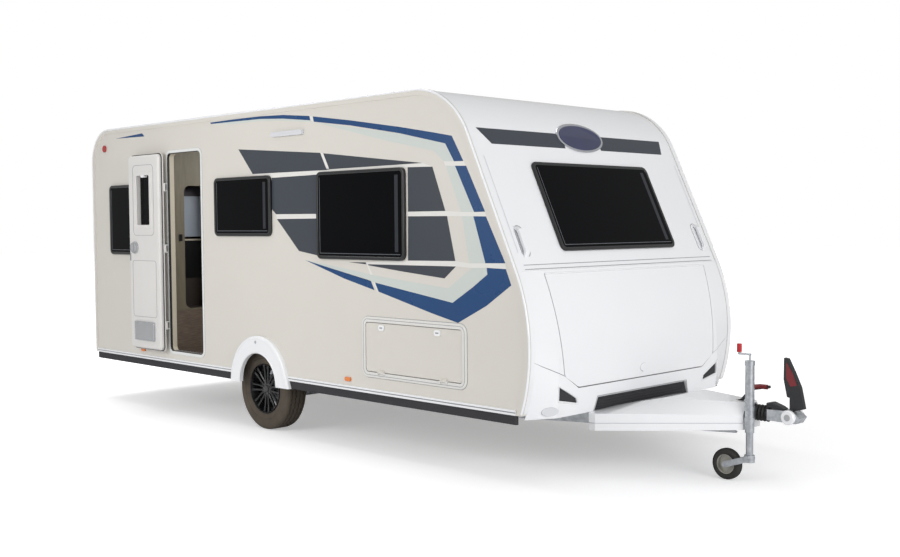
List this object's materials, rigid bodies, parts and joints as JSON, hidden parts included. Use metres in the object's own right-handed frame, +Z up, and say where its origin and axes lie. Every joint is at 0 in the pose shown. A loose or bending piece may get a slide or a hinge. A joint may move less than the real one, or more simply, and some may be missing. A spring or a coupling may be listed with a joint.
{
  "type": "travel caravan",
  "caption": "Travel caravan with a leaning round nose, framed windows, an entrance door folded back, a gas locker lid, a drawbar with ball coupling and a jockey wheel.",
  "frame": {"origin": "on the ground, midway across the width and under the middle of the overall length", "axes": "+X along the caravan towards the hitch, +Y to its left side, +Z up"},
  "size_m": [6.7743, 2.439, 2.6003],
  "materials": {
    "side_skin": "satin",
    "gloss_white": "gloss",
    "frame_grey": "satin",
    "door_moulding": "satin",
    "hatch_grey": "satin",
    "skirt_dark": "matte",
    "tinted_acrylic": "gloss",
    "smoked_dome": "gloss",
    "board": "satin",
    "upholstery": "matte",
    "fitting_silver": "satin",
    "amber_lens": "gloss",
    "red_lens": "gloss",
    "clear_lens": "gloss",
    "galvanised": "satin",
    "lever_black": "satin",
    "bellows_rubber": "matte",
    "knob_red": "satin",
    "tyre": "matte",
    "black_alloy": "gloss",
    "rim_grey": "satin"
  },
  "bodies": {
    "body": {"amber_lamps": "amber_lens", "axle": "galvanised", "base_rails": "gloss_white", "bellows": "bellows_rubber", "cassette_frame": "gloss_white", "chassis_frame": "galvanised", "clear_lamps": "clear_lens", "corner_rails": "gloss_white", "coupling": "galvanised", "cushions": "upholstery", "door_frame": "frame_grey", "drawbar_cover": "gloss_white", "floor_panel": "board", "front_bumper": "gloss_white", "front_grille": "skirt_dark", "front_panel": "gloss_white", "furniture": "board", "grab_handles": "gloss_white", "hatch_frame": "hatch_grey", "hitch_levers": "lever_black", "jockey_knob": "knob_red", "jockey_tube": "galvanised", "locker_bulkhead": "board", "nose_moulding": "gloss_white", "pad_covers": "gloss_white", "rear_bumper": "gloss_white", "rear_panel": "gloss_white", "red_lamps": "red_lens", "roof_hatch_collars": "gloss_white", "roof_panel": "gloss_white", "side_wall_left": "side_skin", "side_wall_right": "side_skin", "skirts": "skirt_dark", "wheel_spats": "gloss_white", "windows": "tinted_acrylic"},
    "wheel_right": {"tyre_right": "tyre", "rim_right": "black_alloy"},
    "wheel_left": {"tyre_left": "tyre", "rim_left": "black_alloy"},
    "door": {"door_leaf": "door_moulding", "door_pane": "tinted_acrylic", "door_fittings": "fitting_silver"},
    "lid": {"locker_lid": "gloss_white"},
    "hatch": {"hatch_flap": "side_skin"},
    "cassette": {"cassette_door": "gloss_white"},
    "rear_roof_hatch": {"roof_hatch_1": "smoked_dome"},
    "front_roof_hatch": {"roof_hatch_2": "smoked_dome"},
    "steady_front_left": {"steady_front_left": "galvanised"},
    "steady_front_right": {"steady_front_right": "galvanised"},
    "steady_rear_left": {"steady_rear_left": "galvanised"},
    "steady_rear_right": {"steady_rear_right": "galvanised"},
    "jockey_leg": {"jockey_leg": "galvanised"},
    "jockey_fork": {"jockey_fork": "galvanised"},
    "jockey_wheel": {"jockey_tyre": "tyre", "jockey_rim": "rim_grey"}
  },
  "joints": [
    {"name": "wheel_right_spin", "type": "hinge", "parent": "body", "child": "wheel_right", "pos_m": [-0.74, -0.9905, 0.327], "axis": [0, 1, 0], "continuous": true},
    {"name": "wheel_left_spin", "type": "hinge", "parent": "body", "child": "wheel_left", "pos_m": [-0.74, 0.9905, 0.327], "axis": [0, 1, 0], "continuous": true},
    {"name": "door_hinge", "type": "hinge", "parent": "body", "child": "door", "pos_m": [-2.02599, -1.184, 1.4], "axis": [0, 0, 1], "range_deg": [0, 180]},
    {"name": "locker_lid_hinge", "type": "hinge", "parent": "body", "child": "lid", "pos_m": [2.04908, 0, 1.315], "axis": [0, -1, 0], "range_deg": [0, 75]},
    {"name": "hatch_flap_hinge", "type": "hinge", "parent": "body", "child": "hatch", "pos_m": [1.08297, -1.164, 0.59551], "axis": [1, 0, 0], "range_deg": [0, 165]},
    {"name": "cassette_door_hinge", "type": "hinge", "parent": "body", "child": "cassette", "pos_m": [-2.38435, 1.164, 0.71501], "axis": [0, 0, 1], "range_deg": [0, 165]},
    {"name": "rear_roof_hatch_hinge", "type": "hinge", "parent": "body", "child": "rear_roof_hatch", "pos_m": [-1.9569, 0, 2.5583], "axis": [0, -1, 0], "range_deg": [0, 50]},
    {"name": "front_roof_hatch_hinge", "type": "hinge", "parent": "body", "child": "front_roof_hatch", "pos_m": [-0.02333, 0, 2.5583], "axis": [0, -1, 0], "range_deg": [0, 50]},
    {"name": "steady_rear_left_hinge", "type": "hinge", "parent": "body", "child": "steady_rear_left", "pos_m": [-2.676, 0.79, 0.404], "axis": [0, -1, 0], "range_deg": [0, 42]},
    {"name": "steady_rear_right_hinge", "type": "hinge", "parent": "body", "child": "steady_rear_right", "pos_m": [-2.676, -0.79, 0.404], "axis": [0, -1, 0], "range_deg": [0, 42]},
    {"name": "steady_front_left_hinge", "type": "hinge", "parent": "body", "child": "steady_front_left", "pos_m": [1.374, 0.79, 0.404], "axis": [0, 1, 0], "range_deg": [0, 42]},
    {"name": "steady_front_right_hinge", "type": "hinge", "parent": "body", "child": "steady_front_right", "pos_m": [1.374, -0.79, 0.404], "axis": [0, 1, 0], "range_deg": [0, 42]},
    {"name": "jockey_height", "type": "slide", "parent": "body", "child": "jockey_leg", "axis": [0, 0, 1], "range_m": [-0.12, 0.08]},
    {"name": "jockey_swivel", "type": "hinge", "parent": "jockey_leg", "child": "jockey_fork", "pos_m": [3.028, -0.092, 0.15], "axis": [0, 0, 1], "continuous": true},
    {"name": "jockey_spin", "type": "hinge", "parent": "jockey_fork", "child": "jockey_wheel", "pos_m": [2.871, -0.092, 0.1], "axis": [0, 1, 0], "continuous": true}
  ]
}
